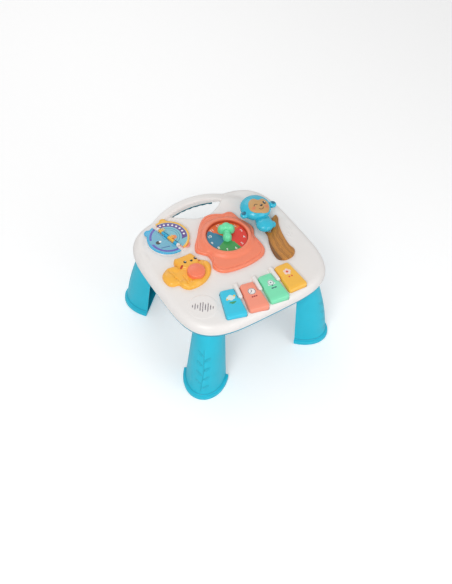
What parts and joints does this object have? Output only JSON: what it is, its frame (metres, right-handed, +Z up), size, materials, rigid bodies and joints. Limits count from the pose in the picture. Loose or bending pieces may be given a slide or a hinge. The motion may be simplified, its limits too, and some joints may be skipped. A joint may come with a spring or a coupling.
{
  "type": "musical activity table",
  "caption": "Child's musical activity table on four plug-in legs, with piano keys, flip book, drum button, turning dial, sliding monkey and a carrying handle.",
  "frame": {"origin": "on the floor under the middle of the table, at the centre of its bounding box's bottom face", "axes": "+X to the right of a child who faces the piano keys, +Y from the keys towards the carrying handle, +Z up"},
  "size_m": [0.368, 0.36, 0.26],
  "materials": {
    "white_shell": "moulded, soft gloss",
    "dark_teal": "moulded, soft gloss",
    "teal_shell": "moulded, soft gloss",
    "coral": "moulded, soft gloss",
    "dial_print": "moulded, satin",
    "amber": "moulded, soft gloss",
    "wood_brown": "moulded, satin",
    "steel": "zinc plated",
    "circuit_board": "moulded, satin",
    "black_plastic": "moulded, satin",
    "cell_wrap": "moulded, satin",
    "silicone": "moulded silicone",
    "key_blue": "moulded, soft gloss",
    "mint": "moulded, soft gloss",
    "yellow": "moulded, soft gloss",
    "light_blue": "moulded, soft gloss",
    "pink": "moulded, soft gloss",
    "monkey_blue": "moulded, soft gloss",
    "tan": "moulded, satin",
    "teal_leg": "moulded, soft gloss"
  },
  "bodies": {
    "table": {"top_cover": "white_shell", "handle_lower": "dark_teal", "base_shell": "teal_shell", "dial_panel": "coral", "dial_disc": "dial_print", "lion_figure": "amber", "tree_trunk": "wood_brown", "book_hinge_rod": "steel", "key_circuit_board": "circuit_board", "drum_circuit_board": "circuit_board", "dial_switch": "black_plastic", "speaker": "black_plastic", "battery_case": "black_plastic", "battery_1": "cell_wrap", "battery_2": "cell_wrap", "battery_3": "cell_wrap", "battery_contact_left": "steel", "battery_contact_right": "steel", "power_switch": "black_plastic", "keyboard_frame": "black_plastic", "key_blue_dome": "silicone", "key_coral_dome": "silicone", "key_mint_dome": "silicone", "key_yellow_dome": "silicone", "drum_dome": "silicone", "case_screw_front_left": "steel", "case_screw_front_right": "steel", "case_screw_left_front": "steel", "case_screw_right_front": "steel", "case_screw_left_rear": "steel", "case_screw_right_rear": "steel", "case_screw_rear_left": "steel", "case_screw_rear_right": "steel"},
    "key_blue": {"key_blue": "key_blue"},
    "key_coral": {"key_coral": "coral"},
    "key_mint": {"key_mint": "mint"},
    "key_yellow": {"key_yellow": "yellow"},
    "drum_button": {"drum_button": "coral"},
    "dial_knob": {"dial_knob": "mint"},
    "page_blue": {"page_blue": "light_blue"},
    "page_pink": {"page_pink": "pink"},
    "page_yellow": {"page_yellow": "yellow"},
    "monkey": {"monkey_figure": "monkey_blue", "monkey_face": "tan", "monkey_carriage": "black_plastic", "monkey_screw": "steel"},
    "leg_front_left": {"leg_front_left": "teal_leg"},
    "leg_front_right": {"leg_front_right": "teal_leg"},
    "leg_rear_left": {"leg_rear_left": "teal_leg"},
    "leg_rear_right": {"leg_rear_right": "teal_leg"},
    "battery_door": {"battery_door": "teal_shell", "battery_door_screw": "steel"},
    "power_switch_knob": {"power_switch_knob": "black_plastic"}
  },
  "joints": [
    {"name": "key_blue_press", "type": "hinge", "parent": "table", "child": "key_blue", "pos_m": [-0.0594, -0.08148, 0.2062], "axis": [0.9659, -0.2587, 0], "range_deg": [0, 3], "stiffness_Nm_per_rad": 0.6, "springref_deg": -3.44, "deforming": ["key_blue_dome"]},
    {"name": "key_coral_press", "type": "hinge", "parent": "table", "child": "key_coral", "pos_m": [-0.0154, -0.08728, 0.2062], "axis": [0.9827, -0.1851, 0], "range_deg": [0, 3], "stiffness_Nm_per_rad": 0.6, "springref_deg": -3.44, "deforming": ["key_coral_dome"]},
    {"name": "key_mint_press", "type": "hinge", "parent": "table", "child": "key_mint", "pos_m": [0.0286, -0.08728, 0.2062], "axis": [0.9939, -0.1103, 0], "range_deg": [0, 3], "stiffness_Nm_per_rad": 0.6, "springref_deg": -3.44, "deforming": ["key_mint_dome"]},
    {"name": "key_yellow_press", "type": "hinge", "parent": "table", "child": "key_yellow", "pos_m": [0.0726, -0.08148, 0.2062], "axis": [0.9994, -0.035, 0], "range_deg": [0, 3], "stiffness_Nm_per_rad": 0.6, "springref_deg": -3.44, "deforming": ["key_yellow_dome"]},
    {"name": "drum_press", "type": "slide", "parent": "table", "child": "drum_button", "axis": [0, 0, -1], "range_m": [0, 0.003], "stiffness_N_per_m": 250, "springref_m": -0.003, "deforming": ["drum_dome"]},
    {"name": "dial_turn", "type": "hinge", "parent": "table", "child": "dial_knob", "pos_m": [0.0164, 0.0352, 0.225], "axis": [0, 0, 1], "continuous": true},
    {"name": "page_blue_flip", "type": "hinge", "parent": "table", "child": "page_blue", "pos_m": [-0.0925, 0.099, 0.2211], "axis": [-0.2334, 0.9724, 0], "range_deg": [0, 180]},
    {"name": "page_pink_flip", "type": "hinge", "parent": "table", "child": "page_pink", "pos_m": [-0.0925, 0.099, 0.2211], "axis": [0.2334, -0.9724, 0], "range_deg": [0, 180]},
    {"name": "page_yellow_flip", "type": "hinge", "parent": "page_pink", "child": "page_yellow", "pos_m": [-0.0925, 0.099, 0.2211], "axis": [0.2334, -0.9724, 0], "range_deg": [0, 180]},
    {"name": "monkey_slide", "type": "slide", "parent": "table", "child": "monkey", "axis": [-0.3156, -0.9489, 0], "range_m": [0, 0.02]},
    {"name": "leg_front_left_pull", "type": "slide", "parent": "table", "child": "leg_front_left", "axis": [0, 0, -1], "range_m": [0, 0.015]},
    {"name": "leg_front_right_pull", "type": "slide", "parent": "table", "child": "leg_front_right", "axis": [0, 0, -1], "range_m": [0, 0.015]},
    {"name": "leg_rear_left_pull", "type": "slide", "parent": "table", "child": "leg_rear_left", "axis": [0, 0, -1], "range_m": [0, 0.015]},
    {"name": "leg_rear_right_pull", "type": "slide", "parent": "table", "child": "leg_rear_right", "axis": [0, 0, -1], "range_m": [0, 0.015]},
    {"name": "battery_door_swing", "type": "hinge", "parent": "table", "child": "battery_door", "pos_m": [0.002, 0.0565, 0.18225], "axis": [1, 0, 0], "range_deg": [0, 90]},
    {"name": "power_switch_slide", "type": "slide", "parent": "table", "child": "power_switch_knob", "axis": [1, 0, 0], "range_m": [-0.003, 0.003]}
  ]
}
